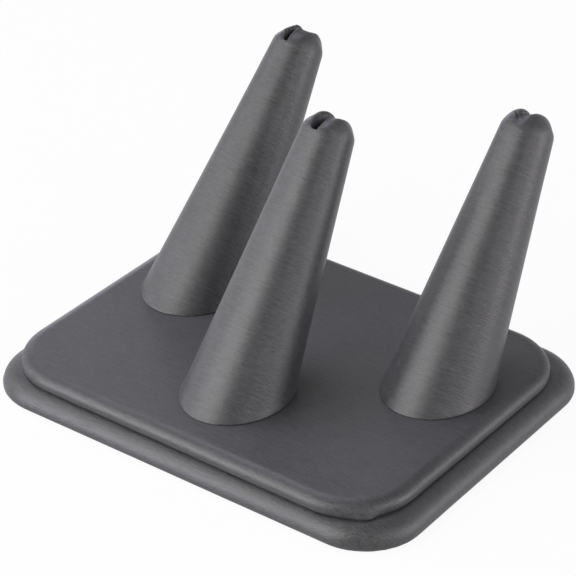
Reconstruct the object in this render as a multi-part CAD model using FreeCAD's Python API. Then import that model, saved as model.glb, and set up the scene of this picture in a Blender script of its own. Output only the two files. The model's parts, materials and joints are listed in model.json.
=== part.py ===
import FreeCAD, Part

import os
from math import cos, radians, sin, sqrt, tan

# Ring display stand: two stacked boards with round corners carry three leaning fingers for rings.
# Boards and fingers are wrapped in leatherette, and a felt sheet lines the underside.
# Millimetres. X runs along the front, Y to the back, Z up. The origin is the middle of the underside.

# Sheet materials
LEATHER = 0.7
FELT_PRESSED = 0.5
LINER_INSET = 3.0
HEM_WIDTH = 12.0
HEM_CORNER = 4.5

# Lower board, measured over its cover, apart from the thickness of the bare plate
LOWER_LENGTH = 130.0
LOWER_DEPTH = 101.7
LOWER_CORNER = 16.5
LOWER_PLATE = 4.8
LOWER_TOP_ROUND = 5.4
LOWER_PLATE_BOTTOM_ROUND = 0.5

# Upper board, measured in the same way, with the small error of its place by hand
UPPER_LENGTH = 121.7
UPPER_DEPTH = 94.5
UPPER_CORNER = 18.2
UPPER_PLATE = 2.7
UPPER_TOP_ROUND = 2.4
UPPER_PLATE_BOTTOM_ROUND = 0.6
UPPER_SHIFT_X = -0.5
UPPER_SHIFT_Y = -0.8
UPPER_TURN = -0.45

# Fingers, measured over their cover along their own axis
LEFT_FINGER_LENGTH = 75.1
FRONT_FINGER_LENGTH = 75.0
RIGHT_FINGER_LENGTH = 74.3
FOOT_RADIUS = 14.05
TAPER_ANGLE = 5.67
CROWN_RADIUS = 9.0
KNUCKLE_RADIUS = 6.5
SLIT_GAP = 2.2
SLIT_DEPTH = 5.2
SLIT_LIP = 1.1
SEAM_WIDTH = 0.5
SEAM_DEPTH = 0.35

# Where the feet stand: how far in from the ends of the upper board, and from its front or back edge
LEFT_FOOT_FROM_END = 21.2
RIGHT_FOOT_FROM_END = 20.6
FRONT_FOOT_FROM_MIDDLE = 0.2
LEFT_FOOT_FROM_BACK = 33.1
RIGHT_FOOT_FROM_BACK = 35.9
FRONT_FOOT_FROM_FRONT = 25.9

# How each finger leans, and how far its lean turns away from straight back, in degrees
LEFT_LEAN = 34.5
LEFT_LEAN_TURN = -5.0
FRONT_LEAN = 31.5
FRONT_LEAN_TURN = -1.9
RIGHT_LEAN = 31.8
RIGHT_LEAN_TURN = -1.0

# Countersunk screws
SCREW_RADIUS = 2.0
SCREW_LENGTH = 24.0
SCREW_HEAD_RADIUS = 4.0
SCREW_HEAD_HEIGHT = 2.4
SCREW_POINT = 4.0
SCREW_HOLE_CLEARANCE = 0.25
PILOT_CLEARANCE = 0.05
SCREW_FORWARD = 3.0
RECESS_WIDTH = 0.9
RECESS_LENGTH = 4.4
RECESS_DEPTH = 1.6

# Levels that follow from the thicknesses
HEM_UNDERSIDE = FELT_PRESSED
LOWER_PLATE_UNDERSIDE = HEM_UNDERSIDE + LEATHER
LOWER_TOP = LOWER_PLATE_UNDERSIDE + LOWER_PLATE + LEATHER
UPPER_PLATE_UNDERSIDE = LOWER_TOP + LEATHER
UPPER_TOP = UPPER_PLATE_UNDERSIDE + UPPER_PLATE + LEATHER

UP = FreeCAD.Vector(0, 0, 1)


def round_rectangle(length, depth, corner, z):
    """A face with straight sides and round corners, centred on the origin."""
    x = length / 2
    y = depth / 2
    mid = corner * (1 - sin(radians(45)))
    edges = []
    # Each corner is an arc from the end of one side to the start of the next, anticlockwise.
    for sx, sy in ((1, -1), (1, 1), (-1, 1), (-1, -1)):
        along_x = FreeCAD.Vector(sx * (x - corner), sy * y, z)
        along_y = FreeCAD.Vector(sx * x, sy * (y - corner), z)
        middle = FreeCAD.Vector(sx * (x - mid), sy * (y - mid), z)
        start, end = (along_x, along_y) if sx * sy < 0 else (along_y, along_x)
        if edges:
            edges.append(Part.LineSegment(edges[-1].Vertexes[-1].Point, start).toShape())
        edges.append(Part.Arc(start, middle, end).toShape())
    closing = Part.LineSegment(edges[-1].Vertexes[-1].Point, edges[0].Vertexes[0].Point)
    edges.append(closing.toShape())
    return Part.Face(Part.Wire(edges))


def rim(solid, z):
    """The edges of a solid that lie in the level plane at z."""
    return [e for e in solid.Edges if all(abs(v.Z - z) < 1e-6 for v in e.Vertexes)]


def board_form(length, depth, corner, bottom, top, top_round, bottom_round):
    """A plate with round corners whose top and bottom edges are rounded over."""
    form = round_rectangle(length, depth, corner, bottom).extrude(UP * (top - bottom))
    form = form.makeFillet(top_round, rim(form, top))
    if bottom_round > 0:
        form = form.makeFillet(bottom_round, rim(form, bottom))
    return form


def wrapped_board(length, depth, corner, plate_bottom, plate, top_round, plate_bottom_round):
    """A bare plate and the leatherette that covers its top and edge and is hemmed under it."""
    plate_top = plate_bottom + plate
    core = board_form(
        length - 2 * LEATHER,
        depth - 2 * LEATHER,
        corner - LEATHER,
        plate_bottom,
        plate_top,
        top_round - LEATHER,
        plate_bottom_round,
    )
    outer = board_form(
        length,
        depth,
        corner,
        plate_bottom - LEATHER,
        plate_top + LEATHER,
        top_round,
        plate_bottom_round + LEATHER,
    )
    window = hem_window(length, depth, plate_bottom - LEATHER, plate_bottom)
    return core, outer.cut(core).cut(window)


def hem_window(length, depth, bottom, top):
    """The space inside the hem, where the plate's underside is bare."""
    face = round_rectangle(length - 2 * HEM_WIDTH, depth - 2 * HEM_WIDTH, HEM_CORNER, bottom)
    return face.extrude(UP * (top - bottom))


def felt_liner():
    """Felt that is pressed thin over the hem and fills the space inside it."""
    sheet = round_rectangle(
        LOWER_LENGTH - 2 * LINER_INSET,
        LOWER_DEPTH - 2 * LINER_INSET,
        LOWER_CORNER - LINER_INSET,
        0,
    ).extrude(UP * FELT_PRESSED)
    thick = hem_window(LOWER_LENGTH, LOWER_DEPTH, FELT_PRESSED, LOWER_PLATE_UNDERSIDE)
    return sheet.fuse(thick).removeSplitter()


def taper_form(length, skin):
    """A domed taper about Z with its foot centre at the origin, thinner all over by skin.

    The dome is a flat crown arc that runs through a tighter knuckle arc into the straight taper.
    """
    angle = radians(TAPER_ANGLE)
    foot = FOOT_RADIUS - skin / cos(angle)
    crown = CROWN_RADIUS - skin
    knuckle = KNUCKLE_RADIUS - skin
    top = length - skin
    # The knuckle's centre lies one knuckle radius inside the taper and inside the crown.
    crown_centre = top - crown
    reach = foot - knuckle / cos(angle)
    a = tan(angle) ** 2 + 1
    b = reach * tan(angle) + crown_centre
    c = reach**2 + crown_centre**2 - (crown - knuckle) ** 2
    centre_z = (b + sqrt(b * b - a * c)) / a
    centre_r = reach - centre_z * tan(angle)
    below = 2 * FOOT_RADIUS

    def on_knuckle(dr, dz):
        return FreeCAD.Vector(centre_r + knuckle * dr, 0, centre_z + knuckle * dz)

    towards_crown = FreeCAD.Vector(centre_r, 0, centre_z - crown_centre).normalize()
    shoulder = on_knuckle(cos(angle), sin(angle))
    crown_end = on_knuckle(towards_crown.x, towards_crown.z)
    between = FreeCAD.Vector(cos(angle) + towards_crown.x, 0, sin(angle) + towards_crown.z).normalize()
    crown_mid = (towards_crown + UP).normalize() * crown + FreeCAD.Vector(0, 0, crown_centre)
    apex = FreeCAD.Vector(0, 0, top)
    low = FreeCAD.Vector(foot + below * tan(angle), 0, -below)
    axis_low = FreeCAD.Vector(0, 0, -below)
    profile = Part.Wire(
        [
            Part.LineSegment(axis_low, low).toShape(),
            Part.LineSegment(low, shoulder).toShape(),
            Part.Arc(shoulder, on_knuckle(between.x, between.z), crown_end).toShape(),
            Part.Arc(crown_end, crown_mid, apex).toShape(),
            Part.LineSegment(apex, axis_low).toShape(),
        ]
    )
    return Part.Face(profile).revolve(FreeCAD.Vector(0, 0, 0), UP, 360)


def slit_form(length, skin):
    """The slit over the dome, from front to back, with a round bottom, wider all round by skin."""
    half = SLIT_GAP / 2 + skin
    bottom = length - SLIT_DEPTH - skin + half
    reach = 4 * FOOT_RADIUS
    saw = Part.makeBox(2 * half, reach, SLIT_DEPTH + reach, FreeCAD.Vector(-half, -reach / 2, bottom))
    root = Part.makeCylinder(half, reach, FreeCAD.Vector(0, -reach / 2, bottom), FreeCAD.Vector(0, 1, 0))
    return saw.fuse(root)


def slit_rim(solid, length, skin):
    """The edges where the slit leaves the dome, all of which lie above its bottom and inside its walls."""
    half = SLIT_GAP / 2 + skin
    bottom = length - SLIT_DEPTH - skin
    found = []
    for edge in solid.Edges:
        box = edge.BoundBox
        inside = box.XMin > -half - 1e-3 and box.XMax < half + 1e-3 and box.ZMin > bottom - 1e-3
        straight = abs(box.ZLength) < 1e-6 and abs(box.XLength) < 1e-6
        if inside and not straight:
            found.append(edge)
    return found


def finger_form(length, skin):
    """A taper with the slit in its tip and rounded lips, thinner all over by skin."""
    form = taper_form(length, skin).cut(slit_form(length, skin)).removeSplitter()
    return form.makeFillet(SLIT_LIP - skin, slit_rim(form, length, skin))


def seam_form(length):
    """The narrow vee of the butt seam up the back of a finger."""
    angle = radians(TAPER_ANGLE)
    foot = FOOT_RADIUS
    tip_z = length - SLIT_DEPTH
    low_z = -FOOT_RADIUS
    ring = []
    for z in (low_z, tip_z):
        y = foot - z * tan(angle)
        points = [
            FreeCAD.Vector(-SEAM_WIDTH / 2, y + SEAM_DEPTH, z),
            FreeCAD.Vector(0, y - SEAM_DEPTH, z),
            FreeCAD.Vector(SEAM_WIDTH / 2, y + SEAM_DEPTH, z),
        ]
        ring.append(Part.makePolygon(points + points[:1]))
    return Part.makeLoft(ring, True)


def stand_up(solid, foot, lean, lean_turn):
    """Leans a finger back, turns its lean about the vertical, and sets its foot on the board."""
    moved = solid.copy()
    moved.rotate(FreeCAD.Vector(0, 0, 0), FreeCAD.Vector(1, 0, 0), -lean)
    moved.rotate(FreeCAD.Vector(0, 0, 0), UP, lean_turn)
    moved.translate(foot)
    below = 6 * FOOT_RADIUS
    corner = FreeCAD.Vector(foot.x - below, foot.y - below, UPPER_TOP - below)
    return moved.cut(Part.makeBox(2 * below, 2 * below, below, corner))


def screw_axis(foot, lean_turn):
    """The point of the upper board's top where a screw comes through, moved towards the lean."""
    turn = radians(lean_turn)
    return foot + FreeCAD.Vector(-sin(turn), cos(turn), 0) * SCREW_FORWARD


def round_bar(centre, radius, bottom, top):
    """An upright cylinder between two levels."""
    return Part.makeCylinder(radius, top - bottom, FreeCAD.Vector(centre.x, centre.y, bottom))


def screw_head(centre):
    """The countersunk head, flush with the underside of the lower plate."""
    base = FreeCAD.Vector(centre.x, centre.y, LOWER_PLATE_UNDERSIDE)
    return Part.makeCone(SCREW_HEAD_RADIUS, SCREW_RADIUS, SCREW_HEAD_HEIGHT, base)


def screw(centre):
    """A countersunk wood screw with a cross recess, upright, its point up."""
    bottom = LOWER_PLATE_UNDERSIDE
    shank_end = bottom + SCREW_LENGTH - SCREW_POINT
    shank = round_bar(centre, SCREW_RADIUS, bottom, shank_end)
    point = Part.makeCone(SCREW_RADIUS, 0, SCREW_POINT, FreeCAD.Vector(centre.x, centre.y, shank_end))
    body = screw_head(centre).fuse([shank, point]).removeSplitter()
    for length, width in ((RECESS_LENGTH, RECESS_WIDTH), (RECESS_WIDTH, RECESS_LENGTH)):
        corner = FreeCAD.Vector(centre.x - length / 2, centre.y - width / 2, bottom)
        body = body.cut(Part.makeBox(length, width, RECESS_DEPTH, corner))
    return body


def pilot(centre):
    """The hole that the screw's thread goes into, in a finger's foot."""
    radius = SCREW_RADIUS + PILOT_CLEARANCE
    end = LOWER_PLATE_UNDERSIDE + SCREW_LENGTH - SCREW_POINT
    hole = round_bar(centre, radius, UPPER_TOP, end)
    drill_point = SCREW_POINT * radius / SCREW_RADIUS
    return hole.fuse(Part.makeCone(radius, 0, drill_point, FreeCAD.Vector(centre.x, centre.y, end)))


def build():
    """Every sub-part by its name."""
    lower_core, lower_cover = wrapped_board(
        LOWER_LENGTH,
        LOWER_DEPTH,
        LOWER_CORNER,
        LOWER_PLATE_UNDERSIDE,
        LOWER_PLATE,
        LOWER_TOP_ROUND,
        LOWER_PLATE_BOTTOM_ROUND,
    )
    upper_core, upper_cover = wrapped_board(
        UPPER_LENGTH,
        UPPER_DEPTH,
        UPPER_CORNER,
        UPPER_PLATE_UNDERSIDE,
        UPPER_PLATE,
        UPPER_TOP_ROUND,
        UPPER_PLATE_BOTTOM_ROUND,
    )
    for piece in (upper_core, upper_cover):
        piece.rotate(FreeCAD.Vector(0, 0, 0), UP, UPPER_TURN)
        piece.translate(FreeCAD.Vector(UPPER_SHIFT_X, UPPER_SHIFT_Y, 0))

    parts = {"underside_liner": felt_liner()}
    end = UPPER_LENGTH / 2
    edge = UPPER_DEPTH / 2
    left_foot = FreeCAD.Vector(LEFT_FOOT_FROM_END - end, edge - LEFT_FOOT_FROM_BACK, UPPER_TOP)
    front_foot = FreeCAD.Vector(FRONT_FOOT_FROM_MIDDLE, FRONT_FOOT_FROM_FRONT - edge, UPPER_TOP)
    right_foot = FreeCAD.Vector(end - RIGHT_FOOT_FROM_END, edge - RIGHT_FOOT_FROM_BACK, UPPER_TOP)
    fingers = {
        "left": (LEFT_FINGER_LENGTH, left_foot, LEFT_LEAN, LEFT_LEAN_TURN),
        "front": (FRONT_FINGER_LENGTH, front_foot, FRONT_LEAN, FRONT_LEAN_TURN),
        "right": (RIGHT_FINGER_LENGTH, right_foot, RIGHT_LEAN, RIGHT_LEAN_TURN),
    }
    for name, (length, foot, lean, lean_turn) in fingers.items():
        solid_core = finger_form(length, LEATHER)
        sleeve = finger_form(length, 0).cut(solid_core).cut(seam_form(length))
        centre = screw_axis(foot, lean_turn)
        through = round_bar(centre, SCREW_RADIUS + SCREW_HOLE_CLEARANCE, 0, UPPER_TOP)
        lower_core = lower_core.cut(through).cut(screw_head(centre))
        lower_cover = lower_cover.cut(through)
        upper_core = upper_core.cut(through)
        upper_cover = upper_cover.cut(through)
        parts[f"finger_core_{name}"] = stand_up(solid_core, foot, lean, lean_turn).cut(pilot(centre))
        parts[f"finger_cover_{name}"] = stand_up(sleeve, foot, lean, lean_turn)
        parts[f"finger_screw_{name}"] = screw(centre)
    parts["lower_board_core"] = lower_core
    parts["lower_board_cover"] = lower_cover
    parts["upper_board_core"] = upper_core
    parts["upper_board_cover"] = upper_cover
    return parts


os.makedirs("parts", exist_ok=True)
for node, shape in build().items():
    shape.exportStep(f"parts/{node}.step")
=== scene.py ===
import json
from math import atan2, cos, pi, radians, sin, sinh, sqrt, tan

import bpy
import numpy as np
from mathutils import Matrix, Vector

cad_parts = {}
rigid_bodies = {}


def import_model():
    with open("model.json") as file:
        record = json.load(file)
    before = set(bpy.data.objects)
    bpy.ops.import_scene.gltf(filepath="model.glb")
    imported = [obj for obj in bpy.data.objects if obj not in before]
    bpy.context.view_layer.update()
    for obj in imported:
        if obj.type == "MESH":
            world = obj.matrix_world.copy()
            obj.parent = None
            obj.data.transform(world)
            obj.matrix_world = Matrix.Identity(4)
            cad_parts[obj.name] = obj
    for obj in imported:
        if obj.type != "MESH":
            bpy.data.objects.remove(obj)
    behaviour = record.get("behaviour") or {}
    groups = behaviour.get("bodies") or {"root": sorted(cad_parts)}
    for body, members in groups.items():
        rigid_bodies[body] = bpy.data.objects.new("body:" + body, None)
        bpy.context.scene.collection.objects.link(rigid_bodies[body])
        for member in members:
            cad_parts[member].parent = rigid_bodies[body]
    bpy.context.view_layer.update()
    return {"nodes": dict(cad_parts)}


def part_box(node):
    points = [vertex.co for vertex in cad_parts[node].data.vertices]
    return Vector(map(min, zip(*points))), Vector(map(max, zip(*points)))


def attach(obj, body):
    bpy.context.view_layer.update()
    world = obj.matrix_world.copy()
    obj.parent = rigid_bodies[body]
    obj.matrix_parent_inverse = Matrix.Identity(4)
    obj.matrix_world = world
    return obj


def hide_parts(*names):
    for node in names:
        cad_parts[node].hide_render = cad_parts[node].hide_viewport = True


# A ring display stand: two stacked boards and three leaning fingers, wrapped in steel grey leatherette.
# Metres. X runs along the front, Y to the back, Z up, as in the frame.
MM = 0.001

for leftover in list(bpy.data.objects):
    bpy.data.objects.remove(leftover)
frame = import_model()

# Sheets
LEATHER_THICKNESS = 0.7 * MM
HEM_WIDTH = 12.0 * MM

# Boards, over their leatherette
LOWER_CORNER = 16.5 * MM
LOWER_TOP_ROUND = 5.2 * MM
LOWER_TOP_REACH = 6.2 * MM
LOWER_BOTTOM_ROUND = 1.0 * MM
UPPER_LENGTH = 121.7 * MM
UPPER_DEPTH = 94.5 * MM
UPPER_CORNER = 18.2 * MM
UPPER_TOP_ROUND = 2.7 * MM
UPPER_TOP_REACH = 3.6 * MM
UPPER_BOTTOM_ROUND = 0.6 * MM
UPPER_PINCH = 1.3 * MM
UPPER_SHIFT = Vector((-0.5, -0.8, 0)) * MM
UPPER_TURN = radians(-0.45)

# Fingers, over their leatherette, in the frame of their own axis
FOOT_RADIUS = 14.05 * MM
TAPER_ANGLE = radians(5.67)
CROWN_RADIUS = 9.0 * MM
KNUCKLE_RADIUS = 6.5 * MM


class Number:
    """A number socket of a node tree. Arithmetic on it adds Math nodes."""

    def __init__(self, tree, socket):
        self.tree = tree
        self.socket = socket

    def __add__(self, other):
        return self.tree.math("ADD", self, other)

    def __radd__(self, other):
        return self.tree.math("ADD", other, self)

    def __sub__(self, other):
        return self.tree.math("SUBTRACT", self, other)

    def __rsub__(self, other):
        return self.tree.math("SUBTRACT", other, self)

    def __mul__(self, other):
        return self.tree.math("MULTIPLY", self, other)

    def __rmul__(self, other):
        return self.tree.math("MULTIPLY", other, self)

    def __truediv__(self, other):
        return self.tree.math("DIVIDE", self, other)

    def __rtruediv__(self, other):
        return self.tree.math("DIVIDE", other, self)

    def __pow__(self, other):
        return self.tree.math("POWER", self, other)


class Tree:
    """A node tree that is written as calls and expressions."""

    def __init__(self, nodes_of):
        self.nodes = nodes_of.nodes
        self.links = nodes_of.links

    def node(self, kind, settings=None, inputs=None, output=0):
        """Adds a node, sets it up, feeds its sockets and gives one of its outputs."""
        node = self.nodes.new(kind)
        for name, value in (settings or {}).items():
            setattr(node, name, value)
        for name, value in (inputs or {}).items():
            self.feed(node.inputs[name], value)
        if not node.outputs:
            return None
        found = node.outputs[output]
        return Number(self, found) if found.type in ("VALUE", "INT") else found

    def feed(self, socket, value):
        if isinstance(value, Number):
            value = value.socket
        if isinstance(value, bpy.types.NodeSocket):
            self.links.new(value, socket)
        else:
            socket.default_value = value

    def math(self, operation, *values):
        return self.node("ShaderNodeMath", {"operation": operation}, dict(enumerate(values)))

    def clamped(self, value, low=0.0, high=1.0):
        return self.node("ShaderNodeClamp", None, {"Value": value, "Min": low, "Max": high})

    def vector(self, operation, *values, output=0):
        return self.node("ShaderNodeVectorMath", {"operation": operation}, dict(enumerate(values)), output)

    def joined(self, x=0.0, y=0.0, z=0.0):
        return self.node("ShaderNodeCombineXYZ", None, {"X": x, "Y": y, "Z": z})

    def parts(self, vector):
        split = self.nodes.new("ShaderNodeSeparateXYZ")
        self.feed(split.inputs[0], vector)
        return [Number(self, out) for out in split.outputs]

    def grey(self, value):
        return self.node("ShaderNodeCombineColor", None, {0: value, 1: value, 2: value})

    def tinted(self, blend, share, first, second):
        return self.node(
            "ShaderNodeMix", {"data_type": "RGBA", "blend_type": blend}, {0: share, 6: first, 7: second}, 2
        )


def new_material(name):
    """An empty material and the tree that it is written in."""
    material = bpy.data.materials.new(name)
    material.use_nodes = True
    material.node_tree.nodes.clear()
    return material, Tree(material.node_tree)


# Leatherette: the length and width of its marks along the sheet's grain, read from each piece's flat pattern
LEATHER_COLOUR = (0.037, 0.0355, 0.0395, 1.0)
FINE_STREAK = (1.8 * MM, 0.24 * MM)
BROAD_STREAK = (6.0 * MM, 0.7 * MM)
GRIT = (0.3 * MM, 0.3 * MM)
PATCH = (9.0 * MM, 9.0 * MM)
GLINT_SPOT = (0.45 * MM, 0.45 * MM)
PORE = (0.7 * MM, 0.7 * MM)
CRACKLE = (1.3 * MM, 0.8 * MM)
# Above which noise a painted glint or a pore starts, and how sharply, and how sharp the lines of the crackle
# are
DOT_LIMIT = 0.84
DOT_SHARPNESS = 12.0
CRACKLE_SHARPNESS = 14.0
# How much each lightens or darkens the leatherette, and the least and most of its tone. The glints are
# painted highlights; the pores and folds get painted shade.
PATCH_CONTRAST = 0.4
GLINT_LIGHT = 3.0
PORE_PAINTED_SHADE = 0.7
CRACKLE_SHADE = 0.6
PAINTED_FOLD_SHADE = 0.92
TONE_RANGE = (0.3, 2.0)
# Relief of the grain, and the crackle's share of it
GRAIN_RELIEF = 0.12 * MM
CRACKLE_RELIEF = 0.35


def leatherette(name, seed, contrast):
    """Steel grey leatherette with a fine brushed grain. Shade is painted into its folds and where it meets
    what it rests on, and strained edges crackle.
    """
    material, tree = new_material(name)
    sheet = tree.node("ShaderNodeAttribute", {"attribute_name": "sheet"}, None, "Vector")
    fold = tree.node("ShaderNodeAttribute", {"attribute_name": "fold"}, None, "Fac")
    strain = tree.node("ShaderNodeAttribute", {"attribute_name": "strain"}, None, "Fac")
    along, across, side = tree.parts(sheet)

    def streaks(length, width, detail, shift):
        place = tree.joined(along / length, across / width, side + shift + seed)
        return tree.node(
            "ShaderNodeTexNoise", None, {"Vector": place, "Scale": 1.0, "Detail": detail, "Roughness": 0.55}
        )

    fine = streaks(*FINE_STREAK, 2.0, 0.0)
    broad = streaks(*BROAD_STREAK, 2.0, 7.0)
    grit = streaks(*GRIT, 1.0, 11.0)
    patch = streaks(*PATCH, 3.0, 13.0)
    painted_glint = tree.clamped((streaks(*GLINT_SPOT, 0.0, 23.0) - DOT_LIMIT) * DOT_SHARPNESS)
    # Dark pores: painted shade of tiny pits, without relief.
    painted_pore = tree.clamped((streaks(*PORE, 0.0, 31.0) - DOT_LIMIT) * DOT_SHARPNESS)
    crease = tree.math("ABSOLUTE", streaks(*CRACKLE, 1.0, 41.0) - 0.5) * CRACKLE_SHARPNESS
    crackle = strain * (1.0 - tree.clamped(crease))
    grain = 0.5 * fine + 0.3 * broad + 0.2 * grit
    tone = tree.clamped(1.0 + contrast * (grain - 0.5) + PATCH_CONTRAST * (patch - 0.5), *TONE_RANGE)
    # Painted shade darkens the folds: the slit, the puckers, the foot's edge and the turn under a board.
    tone = tone * (1.0 - PAINTED_FOLD_SHADE * fold) * (1.0 - PORE_PAINTED_SHADE * painted_pore) * (1.0 - CRACKLE_SHADE * crackle)
    # The bright specks are painted glints.
    tone = tone + GLINT_LIGHT * painted_glint
    colour = tree.tinted("MULTIPLY", 1.0, LEATHER_COLOUR, tree.grey(tone))
    relief = grain - CRACKLE_RELIEF * crackle
    bump = tree.node("ShaderNodeBump", None, {"Strength": 1.0, "Distance": GRAIN_RELIEF, "Height": relief})
    shader = tree.node(
        "ShaderNodeBsdfPrincipled",
        None,
        {
            "Base Color": colour,
            # Where shade is painted, the gloss is also roughened and dimmed, as dark metal.
            "Roughness": tree.clamped(0.34 + 0.16 * fine + 0.5 * fold),
            "Metallic": 0.85 * fold,
            "Normal": bump,
            "Specular IOR Level": 0.67,
            "Sheen Weight": 0.17,
            "Sheen Roughness": 0.35,
            "Sheen Tint": (0.85, 0.88, 1.0, 1.0),
        },
    )
    tree.node("ShaderNodeOutputMaterial", None, {"Surface": shader})
    return material


FLECK_CONTRAST = 2.4


def flecked(name, dark, light, fleck, roughness, height, **more):
    """A material whose colour wanders between two tones in flecks of that length, width and thickness."""
    material, tree = new_material(name)
    place = tree.node("ShaderNodeTexCoord", None, None, "Object")
    scaled = tree.vector("MULTIPLY", place, [1 / size for size in fleck])
    inputs = {"Vector": scaled, "Scale": 1.0, "Detail": 3.0, "Roughness": 0.65}
    noise = tree.node("ShaderNodeTexNoise", None, inputs)
    tone = tree.clamped((noise - 0.5) * FLECK_CONTRAST + 0.5)
    colour = tree.tinted("MIX", tone, (*dark, 1.0), (*light, 1.0))
    bump = tree.node("ShaderNodeBump", None, {"Strength": 1.0, "Distance": height, "Height": noise})
    values = {"Base Color": colour, "Roughness": roughness, "Normal": bump}
    values.update(more)
    shader = tree.node("ShaderNodeBsdfPrincipled", None, values)
    tree.node("ShaderNodeOutputMaterial", None, {"Surface": shader})
    return material


def pressed_felt():
    """Black felt with a short nap."""
    fleck = (0.5 * MM, 0.5 * MM, 0.5 * MM)
    nap = {"Sheen Weight": 0.1, "Sheen Roughness": 0.6, "Specular IOR Level": 0.2}
    return flecked("felt", (0.012, 0.012, 0.013), (0.032, 0.032, 0.034), fleck, 0.95, 0.03 * MM, **nap)


def fibreboard():
    """Raw fibreboard."""
    fleck = (0.8 * MM, 0.8 * MM, 0.3 * MM)
    return flecked("fibreboard", (0.27, 0.18, 0.095), (0.43, 0.30, 0.17), fleck, 0.85, 0.05 * MM)


def turned_wood():
    """Raw, pale, turned wood with its grain along the finger."""
    fleck = (0.5 * MM, 4.0 * MM, 9.0 * MM)
    return flecked("turned_wood", (0.42, 0.28, 0.15), (0.60, 0.44, 0.27), fleck, 0.7, 0.04 * MM)


def screw_steel():
    """Zinc plated steel."""
    fleck = (1.5 * MM, 1.5 * MM, 1.5 * MM)
    dark = (0.50, 0.50, 0.47)
    light = (0.62, 0.62, 0.60)
    return flecked("screw_steel", dark, light, fleck, 0.35, 0.01 * MM, Metallic=1.0)


def add_piece(name, mesh, material):
    """An object for a finished mesh, at the origin, smooth, with one material."""
    mesh.materials.clear()
    mesh.materials.append(material)
    mesh.shade_smooth()
    piece = bpy.data.objects.new(name, mesh)
    bpy.context.collection.objects.link(piece)
    return piece


def mesh_from(name, points, faces):
    mesh = bpy.data.meshes.new(name)
    mesh.from_pydata([tuple(p) for p in points], [], faces)
    mesh.validate()
    return mesh


def apply_modifiers(piece):
    """Replaces a piece's mesh by what its modifiers make of it."""
    bpy.context.view_layer.update()
    graph = bpy.context.evaluated_depsgraph_get()
    evaluated = piece.evaluated_get(graph)
    made = bpy.data.meshes.new_from_object(evaluated, preserve_all_data_layers=True, depsgraph=graph)
    piece.modifiers.clear()
    piece.data = made
    return piece


def geometry_tree(name, labels):
    """A geometry node group with a number input for each label: the group, its tree, and the inputs."""
    group = bpy.data.node_groups.new(name, "GeometryNodeTree")
    group.interface.new_socket("Geometry", in_out="INPUT", socket_type="NodeSocketGeometry")
    for label in labels:
        group.interface.new_socket(label, in_out="INPUT", socket_type="NodeSocketFloat")
    group.interface.new_socket("Geometry", in_out="OUTPUT", socket_type="NodeSocketGeometry")
    tree = Tree(group)
    entry = group.nodes.new("NodeGroupInput")
    return group, tree, {label: Number(tree, entry.outputs[label]) for label in labels}


def finish_tree(group, tree, geometry, material):
    """Ends a geometry node group in real, plain geometry with a material."""
    real = tree.node("GeometryNodeRealizeInstances", None, {"Geometry": geometry})
    painted = tree.node("GeometryNodeSetMaterial", None, {"Geometry": real, "Material": material})
    leave = group.nodes.new("NodeGroupOutput")
    tree.feed(leave.inputs[0], painted)


def grown(name, group, values):
    """The plain mesh that a geometry node group makes from those input values."""
    carrier = bpy.data.objects.new(name, bpy.data.meshes.new(name))
    bpy.context.collection.objects.link(carrier)
    modifier = carrier.modifiers.new("grow", "NODES")
    modifier.node_group = group
    for item in group.interface.items_tree:
        if item.name in values and item.in_out == "INPUT":
            modifier[item.identifier] = values[item.name]
    mesh = apply_modifiers(carrier).data
    bpy.data.objects.remove(carrier)
    mesh.name = name
    return mesh


# Mesh of the boards: columns round the outline, rows across the edge, segments in each corner
BOARD_COLUMNS = 400
BOARD_ROWS = 66
CORNER_SEGMENTS = 32
# How far from the rounding the rows on top begin, and how uneven the edge is
BOARD_FLAT_BORDER = 5.0 * MM
BOARD_UNEVENNESS = 0.12 * MM
# Pleats in the corners: how close together, how strong, and from which share of the thickness they start
PLEAT_SCALE = 14
PLEAT_SEED_SCALE = 900
PLEAT_STRENGTH = 5
PLEAT_START = 0.45
# Waves of the whole edge, to a metre
DRIFT_SCALE = 60
# How fast the drawn-out point of the hem fades round the corner, and up the edge
POINT_FADE_ASIDE = 14
POINT_FADE_UP = 1.5
# Where the painted shade starts on the turn under the board, and how strained a straight edge is beside a
# corner
UNDER_SHADE_START = 0.3
UNDER_SHADE_GROWTH = 1.6
STRAIN_GROWTH = 1.5
STRAIGHT_STRAIN = 0.35


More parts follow.
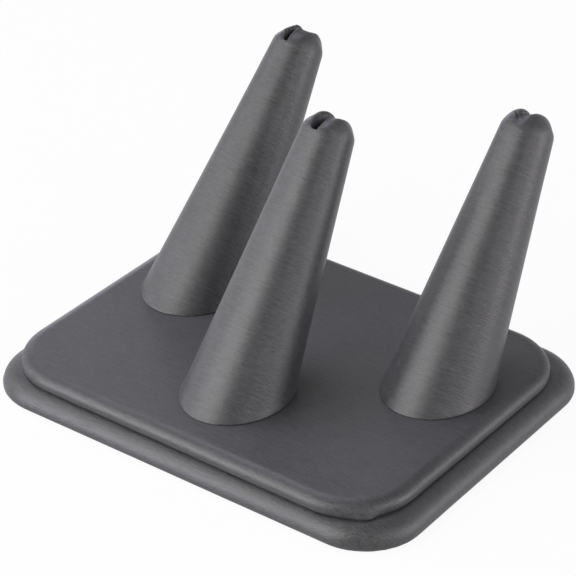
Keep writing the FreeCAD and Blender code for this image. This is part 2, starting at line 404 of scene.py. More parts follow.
def board_sheet_tree(material):
    """The sheet over a board: flat on top, rounded over the edge, turned under as a hem.

    Row 0 is the middle of the top. Each further row lies at one distance along the sheet from where the
    edge starts to round. The flat pattern goes to the attribute that the grain reads.
    """
    labels = ["Length", "Depth", "Corner", "Top", "Thickness", "Top Round", "Top Reach", "Bottom Round"]
    group, tree, size = geometry_tree("board_sheet", labels + ["Hem Width", "Unevenness", "Pinch"])
    top_round = size["Top Round"]
    top_reach = size["Top Reach"]
    bottom_round = size["Bottom Round"]
    rectangle = tree.node(
        "GeometryNodeCurvePrimitiveQuadrilateral",
        None,
        {"Width": size["Length"] - 2 * top_reach, "Height": size["Depth"] - 2 * top_reach},
    )
    rail = tree.node(
        "GeometryNodeFilletCurve",
        {"mode": "POLY"},
        {"Curve": rectangle, "Radius": size["Corner"] - top_reach, "Count": CORNER_SEGMENTS},
    )
    grid = tree.nodes.new("GeometryNodeMeshGrid")
    counts = {"Size X": 1, "Size Y": 1, "Vertices X": BOARD_COLUMNS + 1, "Vertices Y": BOARD_ROWS + 1}
    for name, value in counts.items():
        tree.feed(grid.inputs[name], value)
    round_about, out_along, _ = tree.parts(tree.node("GeometryNodeInputPosition"))
    sample = tree.nodes.new("GeometryNodeSampleCurve")
    sample.mode = "FACTOR"
    tree.feed(sample.inputs["Curves"], rail)
    tree.feed(sample.inputs["Factor"], tree.clamped(round_about + 0.5))
    rail_point = sample.outputs["Position"]
    tangent_x, tangent_y, _ = tree.parts(sample.outputs["Tangent"])
    sideways = tree.joined(tangent_y, 0 - tangent_x)
    side = tree.math("SIGN", tree.vector("DOT_PRODUCT", sideways, rail_point, output="Value"))
    outward_x = tangent_y * side
    outward_y = 0 - tangent_x * side

    row = (out_along + 0.5) * BOARD_ROWS
    from_middle = tree.clamped(row)
    share = tree.math("MAXIMUM", (row - 1) / (BOARD_ROWS - 1), 0.0)
    first_turn = (top_round + top_reach) * (pi / 4)
    straight = size["Thickness"] - top_round - bottom_round
    second_turn = bottom_round * (pi / 2)
    hem = size["Hem Width"] - bottom_round
    travel = share * (first_turn + straight + second_turn + hem + BOARD_FLAT_BORDER) - BOARD_FLAT_BORDER
    before = tree.math("MINIMUM", travel, 0.0)
    over = tree.clamped(travel, 0.0, first_turn) / first_turn * (pi / 2)
    down = tree.clamped(travel - first_turn, 0.0, straight)
    under = tree.clamped(travel - first_turn - straight, 0.0, second_turn) / bottom_round
    back = tree.math("MAXIMUM", travel - first_turn - straight - second_turn, 0.0)
    out = before + top_reach * tree.math("SINE", over)
    out = out - bottom_round * (1 - tree.math("COSINE", under)) - back
    fall = top_round * (1 - tree.math("COSINE", over)) + down + bottom_round * tree.math("SINE", under)

    # In a corner the spare leatherette gathers into small pleats that start below the rounded edge.
    corner = tree.math("ABSOLUTE", outward_x * outward_y) * 2
    low_down = tree.clamped((fall / size["Thickness"] - PLEAT_START) * 2.0)
    place = tree.joined(outward_x * PLEAT_SCALE, outward_y * PLEAT_SCALE, size["Top"] * PLEAT_SEED_SCALE)
    pleat = tree.node("ShaderNodeTexNoise", None, {"Vector": place, "Scale": 1.0, "Detail": 1.0})
    rail_x, rail_y, _ = tree.parts(rail_point)
    place = tree.joined(rail_x * DRIFT_SCALE, rail_y * DRIFT_SCALE, fall * DRIFT_SCALE)
    drift = tree.node("ShaderNodeTexNoise", None, {"Vector": place, "Scale": 1.0, "Detail": 1.0})
    spread = (pleat - 0.5) * corner * low_down * PLEAT_STRENGTH
    spread = spread + (drift - 0.5) * tree.clamped(fall / top_round)
    # In the front right corner the hem is drawn to a point.
    front_right = tree.clamped(outward_x) * tree.clamped(0 - outward_y) * 2
    pinched = front_right**POINT_FADE_ASIDE * tree.clamped(fall / size["Thickness"]) ** POINT_FADE_UP
    out_there = out + spread * size["Unevenness"] + pinched * size["Pinch"]
    point = tree.joined(
        (rail_x + outward_x * out_there) * from_middle,
        (rail_y + outward_y * out_there) * from_middle,
        size["Top"] - fall,
    )
    flat_x = (rail_x + outward_x * travel) * from_middle
    flat_y = (rail_y + outward_y * travel) * from_middle
    # Shade is painted onto the turn under the board, where it meets what it rests on.
    fold = tree.clamped((under - UNDER_SHADE_START) * UNDER_SHADE_GROWTH)
    strain = tree.clamped(over * STRAIN_GROWTH) * (STRAIGHT_STRAIN + (1 - STRAIGHT_STRAIN) * corner)
    # The materials read these from the mesh.
    kept = {
        "sheet": ("VECTOR", "FLOAT_VECTOR", tree.joined(flat_x, flat_y)),
        "fold": ("FLOAT", "FLOAT", fold),
        "strain": ("FLOAT", "FLOAT", strain),
    }
    captured = tree.nodes.new("GeometryNodeCaptureAttribute")
    tree.feed(captured.inputs["Geometry"], grid.outputs["Mesh"])
    for label, (kind, _, value) in kept.items():
        captured.capture_items.new(kind, label)
        tree.feed(captured.inputs[label], value)
    sheet = tree.node(
        "GeometryNodeSetPosition", None, {"Geometry": captured.outputs["Geometry"], "Position": point}
    )
    for label, (_, kind, _) in kept.items():
        sheet = tree.node(
            "GeometryNodeStoreNamedAttribute",
            {"data_type": kind, "domain": "POINT"},
            {"Geometry": sheet, "Name": label, "Value": captured.outputs[label]},
        )
    closed = tree.node("GeometryNodeMergeByDistance", None, {"Geometry": sheet, "Distance": 0.01 * MM})
    finish_tree(group, tree, closed, material)
    return group


def thicken(piece):
    """Gives a sheet its thickness, inwards."""
    wall = piece.modifiers.new("thickness", "SOLIDIFY")
    wall.thickness = LEATHER_THICKNESS
    wall.offset = -1.0
    apply_modifiers(piece)


def face_upwards(mesh):
    """Turns an open sheet so that the face with the highest middle looks up."""
    top = max(mesh.polygons, key=lambda face: face.center.z)
    if top.normal.z < 0:
        mesh.flip_normals()


def wrapped_board(name, tree, material, node, sizes, shift, turn):
    """The leatherette over a board, which stands for the CAD node's cover."""
    low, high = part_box(node)
    values = {
        "Top": high[2],
        "Thickness": high[2] - low[2],
        "Hem Width": HEM_WIDTH,
        "Unevenness": BOARD_UNEVENNESS,
    }
    values.update(sizes)
    mesh = grown(name, tree, values)
    face_upwards(mesh)
    mesh.transform(Matrix.Translation(shift) @ Matrix.Rotation(turn, 4, "Z"))
    piece = add_piece(name, mesh, material)
    thicken(piece)
    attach(piece, "root")
    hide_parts(node)


# Mesh of the fingers: lines across and along the cap, rows down the flank
CAP_ACROSS = 113
CAP_ALONG = 81
CAP_PACKING = 2.2
FLANK_ROWS = 46
FLANK_PACKING = 0.9
# The flank is a little uneven, over these lengths across and along it
FINGER_UNEVENNESS = 0.05 * MM
UNEVEN_ACROSS = 6 * MM
UNEVEN_ALONG = 14 * MM
# The foot flares, and its wavy edge curls in and lies tucked under on the board. Shares of the curl and of
# the tuck give their rows, and each of these rows has its painted shade, dark where the foot meets the board.
FOOT_FLARE = 0.3 * MM
FOOT_FLARE_HEIGHT = 2.5 * MM
FOOT_WAVE = 0.06 * MM
FOOT_CURL = 0.32 * MM
FOOT_TUCK = 2.4 * MM
CURL_SHARES = (0.3, 0.6, 0.8, 0.95, 1.0)
TUCK_SHARES = (0.3, 1.0)
FOOT_PAINTED_SHADES = (0.0, 0.25, 0.8, 1.0, 1.0, 1.0, 1.0)
# The butt seam at the back
SEAM_HALF_WIDTH = 0.28 * MM
SEAM_DEPTH = 0.3 * MM
# Between the leatherette and the wood
CORE_CLEARANCE = 0.08 * MM
# From which share of the dome its flat pattern turns into the flank's
DOME_PATTERN_SHARE = 0.45
SLIT_DEPTH = 5.2 * MM

# The tips' shape, all in plain millimetres. Places are to the back of the axis (v), to the left of the slit's
# right lip (d), or above the slit's bottom. Each pair is where a change starts and where it ends.
SLIT_SOFT_BACK = 0.25
SLIT_SOFT_SPAN = (-4.5, -1.3)
SLIT_GAP_BACK = 0.45
SLIT_GAP_SPAN = (-2.5, -0.3)
SLIT_END = 1.3
BOTTOM_SPAN = (0.0, 2.5)
CROWN_SPAN = (-3.2, -0.8)
CROWN_LEAST = 0.3
FALL_LENGTH = 2.0
FALL_SPAN = (0.8, 3.5)
PUCKER_LIP_SPAN = (0.15, 0.8)
PUCKER_FRONT_SPAN = (-1.0, 0.1)
LIP_HEIGHT = 0.2
LIP_WIDTH = 0.24
LIP_PLACE = 0.25
# How dark the painted shade gets in the slit and on the puckers
SLIT_SHADE_SPAN = (0.2, 1.6)
PUCKER_PAINTED_SHADE = 0.5
PUCKER_PAINTED_SPAN = (0.35, 1.2)
# The drawn curves of the lobes: reach, step, and how many steps to each side soften them
CURVE_REACH = 9
CURVE_STEP = 0.02
CURVE_SOFTENING = 16
RIPPLE_WAVES = 6


def dome_profile(length):
    """The dome's crown and knuckle arcs: where they meet the axis, each other and the straight taper."""
    a = tan(TAPER_ANGLE) ** 2 + 1
    reach = FOOT_RADIUS - KNUCKLE_RADIUS / cos(TAPER_ANGLE)
    crown_centre = length - CROWN_RADIUS
    b = reach * tan(TAPER_ANGLE) + crown_centre
    c = reach**2 + crown_centre**2 - (CROWN_RADIUS - KNUCKLE_RADIUS) ** 2
    centre_z = (b + sqrt(b * b - a * c)) / a
    centre_r = reach - centre_z * tan(TAPER_ANGLE)
    crown_turn = atan2(centre_r, centre_z - crown_centre)
    knuckle_turn = pi / 2 - TAPER_ANGLE - crown_turn
    return crown_centre, centre_z, centre_r, crown_turn, knuckle_turn


def on_dome(travel, length):
    """The radius and height on the dome at a distance along it from its apex."""
    crown_centre, centre_z, centre_r, crown_turn, _ = dome_profile(length)
    crown = travel < crown_turn * CROWN_RADIUS
    angle = travel / CROWN_RADIUS
    turned = crown_turn + (travel - crown_turn * CROWN_RADIUS) / KNUCKLE_RADIUS
    radius = np.where(crown, CROWN_RADIUS * np.sin(angle), centre_r + KNUCKLE_RADIUS * np.sin(turned))
    on_crown = crown_centre + CROWN_RADIUS * np.cos(angle)
    height = np.where(crown, on_crown, centre_z + KNUCKLE_RADIUS * np.cos(turned))
    return radius, height


def smooth(value, low, high):
    """0 below low, 1 above high, and a smooth step between them."""
    share = np.clip((value - low) / (high - low), 0, 1)
    return share * share * (3 - 2 * share)


def ripple(x, y, seed):
    """Smooth noise between about -1 and 1, from a few waves of random direction."""
    random = np.random.default_rng(seed)
    total = np.zeros(np.broadcast(x, y).shape)
    for _ in range(RIPPLE_WAVES):
        heading = random.uniform(0, 2 * pi)
        total = total + np.sin(x * cos(heading) + y * sin(heading) + random.uniform(0, 2 * pi))
    return total / 3.5


def drawn_curve(places, values, at):
    """A soft curve through a few values, in millimetres."""
    grid = np.arange(-CURVE_REACH, CURVE_REACH, CURVE_STEP)
    kernel = np.exp(-np.linspace(-2, 2, 2 * CURVE_SOFTENING + 1) ** 2)
    line = np.pad(np.interp(grid, places, values), CURVE_SOFTENING, "edge")
    return np.interp(at, grid, np.convolve(line, kernel / kernel.sum(), "valid"))


def slit_depth(u, v, above, tip):
    """How far the tip's skin lies below the dome, and how much shade is painted into the slit and the
    puckers.

    Points lie u to the right and v to the back of the axis. The left lip rolls softly into the slit, with
    puckers; the right lip is a thin edge that laps over it.
    """
    u = u / MM
    v = v / MM
    above = np.maximum(above / MM, 0)
    d = tip["edge"] + tip["slant"] * v - u
    soft = tip["soft"] + (SLIT_SOFT_BACK - tip["soft"]) * smooth(v, *SLIT_SOFT_SPAN)
    gap = tip["gap"] + (SLIT_GAP_BACK - tip["gap"]) * smooth(v, *SLIT_GAP_SPAN)
    start, stop = tip["open"]
    opened = (1 - tip["closed"]) * smooth(v, start, start + SLIT_END) * (1 - smooth(v, stop - SLIT_END, stop))
    opened = tip["closed"] + opened
    gully = np.exp(-np.power(np.maximum(d - gap, 0) / soft, tip["roll"])) * opened
    fall_from, fall = tip["fall"]
    drop = fall * smooth(v, fall_from, fall_from + FALL_LENGTH) * (1 - smooth(d, *FALL_SPAN))
    left = drawn_curve(*tip["left_lobe"], -d) + drop
    right = drawn_curve(*tip["right_lobe"], -d)
    fade = smooth(above, *BOTTOM_SPAN)
    # The lobes are shaped most over the top of the dome, less towards the front.
    crown = CROWN_LEAST + (1 - CROWN_LEAST) * smooth(v - 0.6 * u, *CROWN_SPAN)
    lobe = np.minimum(np.where(d > 0, left, right) * crown, above) * fade
    depth = lobe + np.where(d > 0, (above - lobe) * gully, 0.0)
    # Puckers fan out over the left lip, across the slit.
    window = smooth(d, *PUCKER_LIP_SPAN) * (1 - smooth(d, tip["pucker_reach"] * 0.6, tip["pucker_reach"]))
    window = window * (1 - smooth(v - 0.6 * u, *PUCKER_FRONT_SPAN))
    fan = v + tip["fan"] * d + 0.5 * ripple(v * 1.1, d * 0.6, tip["seed"])
    pucker = np.sin(2 * pi * fan / tip["pitch"]) * (1 + 0.8 * ripple(v * 1.7, d * 0.5, tip["seed"] + 1))
    frill = 1 + tip["frill"] * np.sin(v * 5.5 + 1.5 * ripple(v * 0.9, d * 0.2, tip["seed"] + 2))
    lip = LIP_HEIGHT * np.exp(-(((d + LIP_PLACE) / LIP_WIDTH) ** 2)) * frill
    # Shade is painted into the slit and onto the puckers' troughs.
    fold = np.where(d > 0, gully, 0.0) * smooth(above, *SLIT_SHADE_SPAN)
    fold = np.maximum(fold, PUCKER_PAINTED_SHADE * smooth(pucker, *PUCKER_PAINTED_SPAN) * window * fade)
    return (depth + (pucker * tip["pucker"] * window - lip) * fade) * MM, fold


def cap_grid():
    """The cap's grid on a unit disc, with its lines packed along the slit."""
    t = np.linspace(-1, 1, CAP_ACROSS)
    a = np.sinh(CAP_PACKING * t) / sinh(CAP_PACKING)
    b = np.linspace(-1, 1, CAP_ALONG)
    a, b = np.meshgrid(a, b, indexing="ij")
    return a * np.sqrt(1 - b * b / 2), b * np.sqrt(1 - a * a / 2)


def cap_points(tip):
    """The cap's skin about the finger's own axis, each point's way from the apex, and the shade painted into
    the slit.
    """
    length = tip["length"]
    _, _, _, crown_turn, knuckle_turn = dome_profile(length)
    dome_length = crown_turn * CROWN_RADIUS + knuckle_turn * KNUCKLE_RADIUS
    disc_u, disc_v = cap_grid()
    disc = np.hypot(disc_u, disc_v)
    travel = disc * dome_length
    radius, height = on_dome(travel, length)
    radius = radius * (1 + tip["girth_top"] * smooth(travel, 0, dome_length) / FOOT_RADIUS * 2)
    safe = np.maximum(disc, 1e-9)
    u = radius * disc_u / safe
    v = radius * disc_v / safe
    depth, fold = slit_depth(u, v, height - (length - SLIT_DEPTH), tip)
    cap = np.stack([u.ravel(), v.ravel(), (height - depth).ravel()], axis=1)
    return cap, travel.ravel(), dome_length, fold.ravel()


def cap_faces():
    """Face corners of the cap's grid, anticlockwise seen from above."""
    index = np.arange(CAP_ACROSS * CAP_ALONG).reshape(CAP_ACROSS, CAP_ALONG)
    corners = [index[:-1, :-1], index[1:, :-1], index[1:, 1:], index[:-1, 1:]]
    return np.stack([c.ravel() for c in corners], axis=1)


def cap_rim():
    """Points of the cap's rim, anticlockwise seen from above, starting at the middle of the back."""
    index = np.arange(CAP_ACROSS * CAP_ALONG).reshape(CAP_ACROSS, CAP_ALONG)
    ring = np.concatenate([index[:-1, 0], index[-1, :-1], index[:0:-1, -1], index[0, :0:-1]])
    start = int(np.where(ring == index[CAP_ACROSS // 2, -1])[0][0])
    return np.roll(ring, -start)


def finger_mesh(name, tip, lean, lean_turn, foot):
    """The skin of a finger, from its slit tip to the turned-in foot on the board."""
    cap, travel, dome_length, fold = cap_points(tip)
    ring = cap_rim()
    top = cap[ring]
    angle = np.arctan2(top[:, 0], -top[:, 1])
    angle[0] = pi
    cone_apex = FOOT_RADIUS / tan(TAPER_ANGLE)

    def on_flank(height, above_foot):
        share = np.clip(height / tip["length"], 0, 1)
        girth = tip["girth_foot"] * (1 - share) ** 2 + tip["girth_top"] * share
        flare = FOOT_FLARE * np.exp(-above_foot / FOOT_FLARE_HEIGHT)
        radius = (cone_apex - height) * tan(TAPER_ANGLE) + girth + flare
        return np.stack([radius * np.sin(angle), -radius * np.cos(angle), height], axis=1)

    lift = -np.cos(angle) * sin(lean)
    end = FOOT_RADIUS * lift / (cos(lean) + tan(TAPER_ANGLE) * lift)
    end = end + (tip["girth_foot"] + FOOT_FLARE) * lift / cos(lean)
    flank = []
    for share in np.linspace(0, 1, FLANK_ROWS + 1)[1:] ** FLANK_PACKING:
        height = top[:, 2] + (end + 2 * FOOT_CURL - top[:, 2]) * share
        flank.append(on_flank(height, height - end))
    slope = cos(TAPER_ANGLE)
    upward = np.full_like(angle, sin(TAPER_ANGLE))
    outward = np.stack([slope * np.sin(angle), -slope * np.cos(angle), upward], axis=1)
    flank = np.stack(flank)
    uneven = ripple(flank[..., 0] / UNEVEN_ACROSS, flank[..., 2] / UNEVEN_ALONG, tip["seed"] + 50)
    fade = smooth(np.arange(FLANK_ROWS), 0, 6) * FINGER_UNEVENNESS
    flank += outward * (uneven * fade[:, None])[..., None]
    edge_wave = FOOT_WAVE * ripple(angle * 6, angle * 2, tip["seed"] + 80)
    last = flank[-1]
    curl = []
    for share in CURL_SHARES:
        height = end + 2 * FOOT_CURL * (1 - share) + edge_wave * share
        inset = FOOT_CURL * (1 - sqrt(1 - share**2))
        row = last + on_flank(height, height - end) - on_flank(last[:, 2], last[:, 2] - end)
        curl.append(row - outward * inset)
    # The turned-in edge lies flat on the board.
    inward = curl[-1].mean(axis=0) - curl[-1]
    inward /= np.linalg.norm(inward, axis=1)[:, None]
    tuck = [curl[-1] + inward * FOOT_TUCK * share for share in TUCK_SHARES]
    rows = np.concatenate([flank, np.stack(curl), np.stack(tuck)])
    seam = np.exp(-(((np.abs(angle) - pi) * FOOT_RADIUS / SEAM_HALF_WIDTH) ** 2)) * SEAM_DEPTH
    rows -= outward * seam[None, :, None]

    points = np.concatenate([cap, rows.reshape(-1, 3)])
    below = np.arange(len(rows) * len(ring)).reshape(-1, len(ring))
    ids = np.concatenate([ring[None, :], len(cap) + below])
    turned = np.roll(ids, -1, axis=1)
    quads = np.stack([ids[:-1], ids[1:], turned[1:], turned[:-1]], axis=-1).reshape(-1, 4)
    faces = np.concatenate([cap_faces(), quads])
    mesh = bpy.data.meshes.new(name)
    mesh.from_pydata(points.tolist(), [], faces.tolist())
    write_flat_pattern(mesh, points, faces, travel, dome_length, tip)
    shade_layer = mesh.attributes.new("fold", "FLOAT", "POINT")
    # Shade is painted onto the foot's curl and tuck, where it meets the board.
    foot_shade = np.zeros((len(rows), len(ring)))
    foot_shade[FLANK_ROWS:] = np.array(FOOT_PAINTED_SHADES)[:, None]
    shade_layer.data.foreach_set("value", np.concatenate([fold, foot_shade.ravel()]).astype(np.float32))
    tilt = Matrix.Rotation(lean_turn, 4, "Z") @ Matrix.Rotation(-lean, 4, "X")
    mesh.transform(Matrix.Translation(foot) @ tilt)
    return mesh


def write_flat_pattern(mesh, points, faces, travel, dome_length, tip):
    """Stores for every face corner its place on the flat sheet, split along the seam at the back."""
    corners = points[faces]
    middle = corners.mean(axis=1)
    towards = np.arctan2(middle[:, 0], -middle[:, 1])[:, None]
    angle = np.arctan2(corners[..., 0], -corners[..., 1])
    angle = angle + 2 * pi * np.round((towards - angle) / (2 * pi))
    cone_apex = FOOT_RADIUS / tan(TAPER_ANGLE)
    reach = np.full(len(points), dome_length)
    reach[: len(travel)] = travel
    reach = reach[faces]
    shoulder = (cone_apex - on_dome(np.array(dome_length), tip["length"])[1]) / cos(TAPER_ANGLE)
    on_cap = reach < dome_length * 0.9999
    on_cone = (cone_apex - corners[..., 2]) / cos(TAPER_ANGLE)
    slant = np.where(on_cap, shoulder - (dome_length - reach), on_cone)
    cone_u = slant * np.sin(angle * sin(TAPER_ANGLE))
    cone_v = slant * np.cos(angle * sin(TAPER_ANGLE))
    cap_u = reach * np.sin(angle)
    cap_v = shoulder - dome_length + reach * np.cos(angle)
    share = np.where(on_cap, smooth(reach, DOME_PATTERN_SHARE * dome_length, dome_length), 1.0)
    side = np.full(share.shape, float(tip["seed"]))
    sheet = np.stack([cap_u + (cone_u - cap_u) * share, cap_v + (cone_v - cap_v) * share, side], axis=-1)
    attribute = mesh.attributes.new("sheet", "FLOAT_VECTOR", "CORNER")
    attribute.data.foreach_set("vector", sheet.reshape(-1).astype(np.float32))


def wooden_core(side, skin, material, foot):
    """The turned wood that fills a finger's leatherette, which stands for the CAD node's core."""
    ring = len(cap_rim())
    kept = CAP_ACROSS * CAP_ALONG + FLANK_ROWS * ring
    points = np.empty(len(skin.vertices) * 3)
    outward = np.empty(len(skin.vertices) * 3)
    skin.vertices.foreach_get("co", points)
    skin.vertex_normals.foreach_get("vector", outward)
    inner = (points - outward * (LEATHER_THICKNESS + CORE_CLEARANCE)).reshape(-1, 3)[:kept]
    inner[-ring:, 2] = foot.z
    faces = [tuple(face.vertices) for face in skin.polygons if max(face.vertices) < kept]
    faces.append(tuple(range(kept - 1, kept - ring - 1, -1)))
    piece = add_piece(f"turned_wood_{side}", mesh_from(f"turned_wood_{side}", inner, faces), material)
    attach(piece, "root")
    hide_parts(f"finger_core_{side}")


def wrapped_finger(side, material, wood, lean, lean_turn, foot):
    """The leatherette over a finger, which stands for the CAD node's cover, and the wood inside it."""
    name = f"finger_leatherette_{side}"
    mesh = finger_mesh(name, TIPS[side], radians(lean), radians(lean_turn), foot)
    face_upwards(mesh)
    wooden_core(side, mesh, wood, foot)
    piece = add_piece(name, mesh, material)
    thicken(piece)
    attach(piece, "root")
    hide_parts(f"finger_cover_{side}")


# The tips. Where the right lip lies at the middle, how the slit runs aslant, and how wide and soft the slit
# is, are in millimetres. A lobe's curve gives how far it lies below a plain dome, at distances from the
# lip. The slit is open between two places, and closed by a share outside them.
TIPS = {
    "left": {
        "length": 75.1 * MM, "girth_foot": 0.5 * MM, "girth_top": 0.0, "seed": 3,
        "edge": -0.04, "slant": -0.125, "gap": 0.9, "soft": 1.1, "roll": 1.5,
        "closed": 0.0, "open": (-12, 12),
        "left_lobe": (
            (-6.8, -6.2, -5.6, -5.0, -4.4, -3.8, -3.2, -2.6, -2.0, -1.5, -1.0, -0.5),
            (-0.01, 0.21, 0.45, 0.62, 0.58, 0.29, 0.1, -0.13, -0.34, -0.11, -0.02, 0.07),
        ),
        "right_lobe": (
            (0.4, 1.0, 1.6, 2.3, 3.0, 3.7, 4.4, 5.0, 5.6, 6.2, 6.8),
            (0.86, 0.96, 0.88, 0.51, -0.12, -0.47, -0.35, -0.02, 0.21, 0.23, 0.06),
        ),
        "fall": (-0.69, 1.01),
        "pitch": 1.05, "pucker": 0.3, "pucker_reach": 4.2, "fan": -0.35, "frill": 0.3,
    },
    "front": {
        "length": 75.0 * MM, "girth_foot": 0.0, "girth_top": 0.0, "seed": 5,
        "edge": 0.85, "slant": 0.0, "gap": 1.15, "soft": 1.5, "roll": 1.7,
        "closed": 0.0, "open": (-12, 12),
        "left_lobe": (
            (-6.8, -6.2, -5.6, -5.0, -4.4, -3.8, -3.1, -2.5, -2.0, -1.5, -1.0, -0.5),
            (0.01, 0.17, 0.28, 0.27, 0.06, -0.23, -0.19, 0.02, 0.19, 0.42, 0.62, 0.83),
        ),
        "right_lobe": (
            (0.3, 1.0, 1.8, 2.55, 3.2, 3.7, 4.2, 4.8, 5.4, 6.0),
            (3.15, 1.95, 0.74, 0.01, 0.01, 0.17, 0.32, 0.41, 0.16, -0.02),
        ),
        "fall": (0.06, 0.72),
        "pitch": 1.0, "pucker": 0.17, "pucker_reach": 3.6, "fan": -0.3, "frill": 0.2,
    },
    "right": {
        "length": 74.3 * MM, "girth_foot": 0.0, "girth_top": -0.06 * MM, "seed": 8,
        "edge": 0.18, "slant": 0.085, "gap": 0.95, "soft": 0.65, "roll": 1.8,
        "closed": 0.22, "open": (-3.5, 0.9),
        "left_lobe": (
            (-6.8, -6.2, -5.6, -5.0, -4.4, -3.8, -3.2, -2.6, -2.1, -1.6, -1.1, -0.6),
            (0.02, 0.08, 0.08, -0.05, -0.21, -0.26, -0.21, -0.07, 0.21, 0.39, 0.48, 0.53),
        ),
        "right_lobe": (
            (0.4, 1.2, 1.9, 2.7, 3.4, 4.0, 4.6, 5.2, 5.8, 6.4),
            (2.55, 1.37, 0.07, -0.06, -0, 0.21, 0.44, 0.47, 0.41, 0.08),
        ),
        "fall": (-1.06, 2.08),
        "pitch": 1.5, "pucker": 0.1, "pucker_reach": 3.6, "fan": -0.6, "frill": 0.3,
    },
}
# How far each finger leans back and its lean turns, in degrees, and where its foot stands
FINGERS = {
    "left": (34.5, -5.0, Vector((-39.65, 14.15, 10.8)) * MM),
    "front": (31.5, -1.9, Vector((0.2, -21.35, 10.8)) * MM),
    "right": (31.8, -1.0, Vector((40.25, 11.35, 10.8)) * MM),
}


def direction(azimuth, elevation):
    """The direction from the object towards a place round it. Azimuth 0 is the front, 90 the right."""
    a = radians(azimuth)
    e = radians(elevation)
    return Vector((sin(a) * cos(e), -cos(a) * cos(e), sin(e)))


def turned_to(towards):
    """The turn that points an object's -Z away from that direction, its Y up."""
    back = towards.normalized()
    right = Vector((0, 0, 1)).cross(back).normalized()
    return Matrix((right, back.cross(right), back)).transposed()


CAMERA_AZIMUTH = 36.39
CAMERA_ELEVATION = 31.94
CAMERA_DISTANCE = 671.52 * MM
CAMERA_LENS = 160.33
CAMERA_SENSOR = 36.0
CAMERA_AIM = Vector((0, 0, 20.5)) * MM
CAMERA_ASIDE = -0.17 * MM
CAMERA_RAISE = 8.67 * MM


def set_camera():
    """The camera at the photograph's viewing angle."""
    data = bpy.data.cameras.new("camera")
    data.lens = CAMERA_LENS
    data.sensor_width = CAMERA_SENSOR
    camera = bpy.data.objects.new("camera", data)
    bpy.context.collection.objects.link(camera)
    back = direction(CAMERA_AZIMUTH, CAMERA_ELEVATION)
    turn = turned_to(back)
    right = turn.col[0]
    up = turn.col[1]
    place = CAMERA_AIM + back * CAMERA_DISTANCE + right * CAMERA_ASIDE + up * CAMERA_RAISE
    camera.matrix_world = Matrix.Translation(place) @ turn.to_4x4()
    bpy.context.scene.camera = camera


LAMP_DISTANCE = 1.0
LAMP_WIDTH = 0.45
LAMP_HEIGHT = 0.4
# Each soft box: azimuth, elevation, power and colour
LAMPS = {
    "key": (-10, 35, 4.0, (1.0, 1.0, 0.93)),
    "low": (-35, 7.2, 4.3, (1.0, 1.0, 1.1)),
    "left_front": (-40, 35, 1.8, (1.0, 1.0, 0.98)),
    "left_side": (-70, 32, 1.5, (1.0, 1.0, 1.03)),
    "left_low": (-80, 11, 0.9, (1.0, 0.99, 1.05)),
    "high_left": (-120, 62, 2.1, (0.99, 0.99, 1.17)),
    "back_left": (-128, 9.7, 0.95, (1.0, 0.99, 1.12)),
    "right": (80, 35, 2.0, (1.04, 1.02, 1.0)),
    "back_right": (105, 12, 2.1, (1.03, 1.0, 1.04)),
    "far_right": (122, 12, 1.7, (1.02, 1.0, 1.06)),
    "back": (150, 20, 0.4, (1.0, 1.0, 1.0)),
}


def soft_lamp(name, azimuth, elevation, power, colour):
    """A rectangular soft box that faces the object, and is low enough to stand clear of the floor."""
    data = bpy.data.lights.new(name, "AREA")
    data.shape = "RECTANGLE"
    data.size = LAMP_WIDTH
    data.size_y = min(LAMP_HEIGHT, 2 * sin(radians(elevation)) * LAMP_DISTANCE)
    data.energy = power
    data.color = colour
    lamp = bpy.data.objects.new(name, data)
    bpy.context.collection.objects.link(lamp)
    back = direction(azimuth, elevation)
    lamp.matrix_world = Matrix.Translation(back * LAMP_DISTANCE) @ turned_to(back).to_4x4()


def seen_white(tree):
    """1 for rays that show the background: from the camera, or reflected or let through by a surface."""
    seen = tree.node("ShaderNodeLightPath", None, None, "Is Camera Ray")
    glossy = tree.node("ShaderNodeLightPath", None, None, "Is Glossy Ray")
    through = tree.node("ShaderNodeLightPath", None, None, "Is Transmission Ray")
    return tree.clamped(seen + glossy + through)


FLOOR_SIZE = 6.0
FLOOR_GREY = 0.95
FLOOR_WHITE_SHARE = 0.93
# Keeps the floor just clear of the felt
FLOOR_GAP = 0.02 * MM
# How bright the studio looks to a surface that reflects it, and to a dull one
STUDIO_GLOSS = 0.45
STUDIO_FILL = 0.02


def set_floor():
    """A white floor that keeps a faint shadow. From below it is clear, so that the underside shows."""
    material, tree = new_material("floor_white")
    plain = tree.node("ShaderNodeBsdfDiffuse", None, {"Color": (FLOOR_GREY, FLOOR_GREY, FLOOR_GREY, 1)})
    white = tree.node("ShaderNodeEmission", None, {"Color": (1, 1, 1, 1), "Strength": 1.0})
    share = FLOOR_WHITE_SHARE * seen_white(tree)
    mixed = tree.node("ShaderNodeMixShader", None, {0: share, 1: plain, 2: white})
    below = tree.node("ShaderNodeNewGeometry", None, None, "Backfacing")
    clear = tree.node("ShaderNodeBsdfTransparent")
    one_sided = tree.node("ShaderNodeMixShader", None, {0: below, 1: mixed, 2: clear})
    tree.node("ShaderNodeOutputMaterial", None, {"Surface": one_sided})
    half = FLOOR_SIZE / 2
    corners = [(-half, -half), (half, -half), (half, half), (-half, half)]
    mesh = mesh_from("floor", [(x, y, -FLOOR_GAP) for x, y in corners], [(0, 1, 2, 3)])
    add_piece("floor", mesh, material)


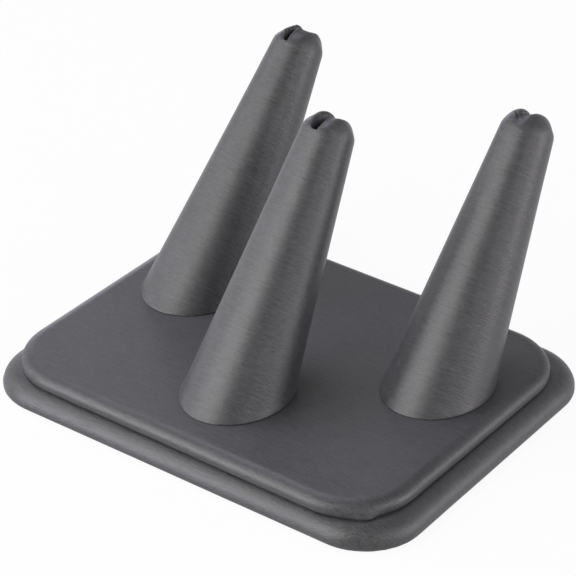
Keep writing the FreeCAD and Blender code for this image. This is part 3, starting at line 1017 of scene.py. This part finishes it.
def set_world():
    """White all round where it is seen, and a plain soft light elsewhere."""
    world = bpy.data.worlds.new("studio")
    bpy.context.scene.world = world
    world.use_nodes = True
    world.node_tree.nodes.clear()
    tree = Tree(world.node_tree)
    seen = tree.node("ShaderNodeLightPath", None, None, "Is Camera Ray")
    glossy = tree.node("ShaderNodeLightPath", None, None, "Is Glossy Ray")
    strength = STUDIO_FILL + (1 - STUDIO_FILL) * seen + (STUDIO_GLOSS - STUDIO_FILL) * glossy
    shine = tree.node("ShaderNodeBackground", None, {"Color": (1, 1, 1, 1), "Strength": strength})
    tree.node("ShaderNodeOutputWorld", None, {"Surface": shine})
    world.cycles.sampling_method = "NONE"


set_camera()
set_world()
set_floor()
for lamp_name, values in LAMPS.items():
    soft_lamp(lamp_name, *values)
bpy.context.scene.view_settings.view_transform = "Standard"

board_leather = leatherette("board_leatherette", 0.0, 4.0)
sheet_tree = board_sheet_tree(board_leather)
lower_low, lower_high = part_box("lower_board_cover")
lower_sizes = {
    "Length": lower_high[0] - lower_low[0],
    "Depth": lower_high[1] - lower_low[1],
    "Corner": LOWER_CORNER,
    "Top Round": LOWER_TOP_ROUND,
    "Top Reach": LOWER_TOP_REACH,
    "Bottom Round": LOWER_BOTTOM_ROUND,
}
upper_sizes = {
    "Length": UPPER_LENGTH,
    "Depth": UPPER_DEPTH,
    "Corner": UPPER_CORNER,
    "Top Round": UPPER_TOP_ROUND,
    "Top Reach": UPPER_TOP_REACH,
    "Bottom Round": UPPER_BOTTOM_ROUND,
    "Pinch": UPPER_PINCH,
}
boards = {"lower": (lower_sizes, Vector(), 0.0), "upper": (upper_sizes, UPPER_SHIFT, UPPER_TURN)}
for level, placed in boards.items():
    wrapped_board(f"{level}_board_leatherette", sheet_tree, board_leather, f"{level}_board_cover", *placed)
finger_leather = leatherette("finger_leatherette", 40.0, 4.8)
wood = turned_wood()
for side, (lean, lean_turn, foot) in FINGERS.items():
    wrapped_finger(side, finger_leather, wood, lean, lean_turn, foot)

# Solids that show as they are, by the start of their names
board = fibreboard()
solid_finishes = {
    "underside_liner": pressed_felt(),
    "lower_board_core": board,
    "upper_board_core": board,
    "finger_screw": screw_steel(),
}
for node, solid in frame["nodes"].items():
    for start, finish in solid_finishes.items():
        if node.startswith(start):
            solid.material_slots[0].material = finish
